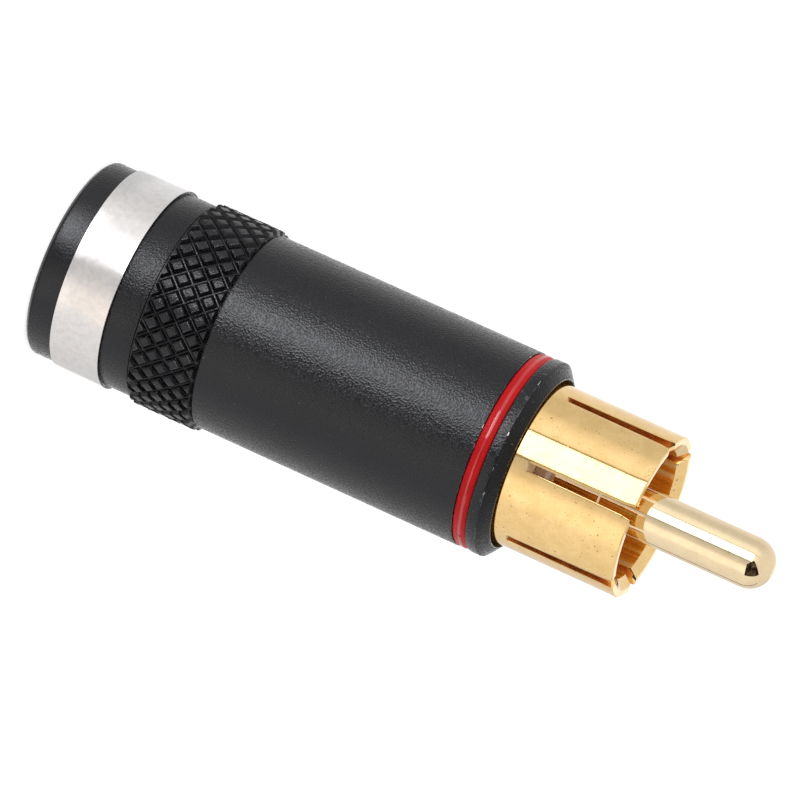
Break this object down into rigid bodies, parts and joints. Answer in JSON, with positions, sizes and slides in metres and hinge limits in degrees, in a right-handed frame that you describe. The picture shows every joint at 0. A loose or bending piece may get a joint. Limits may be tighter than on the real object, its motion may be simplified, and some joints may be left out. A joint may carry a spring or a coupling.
{
  "type": "rca plug",
  "caption": "Cable plug for phono jacks: black metal shell with a knurled grip, a bright band and a red ring, screwed over a slotted gold collar with a centre pin.",
  "frame": {"origin": "centre of the flat rear face, where the cable enters", "axes": "+Z along the plug from the rear face to the pin tip; one collar slot faces -Y"},
  "size_m": [0.0132, 0.0132, 0.0474],
  "materials": {
    "black_shell": "fine blasted and black anodised, with one band skimmed to bright metal",
    "red_ring": "glossy",
    "clear_sleeve": "milky translucent",
    "gold_plate": "polished gold plating",
    "white_insulator": "smooth turned"
  },
  "bodies": {
    "shell": {"shell": "black_shell", "colour_ring": "red_ring", "insulating_sleeve": "clear_sleeve"},
    "insulator": {"pin_insulator": "white_insulator"},
    "contacts": {"ground_collar": "gold_plate", "centre_pin": "gold_plate", "cable_clamp": "gold_plate"}
  },
  "joints": [
    {"name": "thread_advance", "type": "slide", "parent": "shell", "child": "insulator", "axis": [0, 0, 1], "range_m": [0, 0.0075]},
    {"name": "unscrew", "type": "hinge", "parent": "insulator", "child": "contacts", "pos_m": [0, 0, 0.02428], "axis": [0, 0, 1], "range_deg": [0, 3600]}
  ],
  "couplings": [
    {"joint": "thread_advance", "follows": "unscrew", "m_per_rad": 0.00011937}
  ]
}
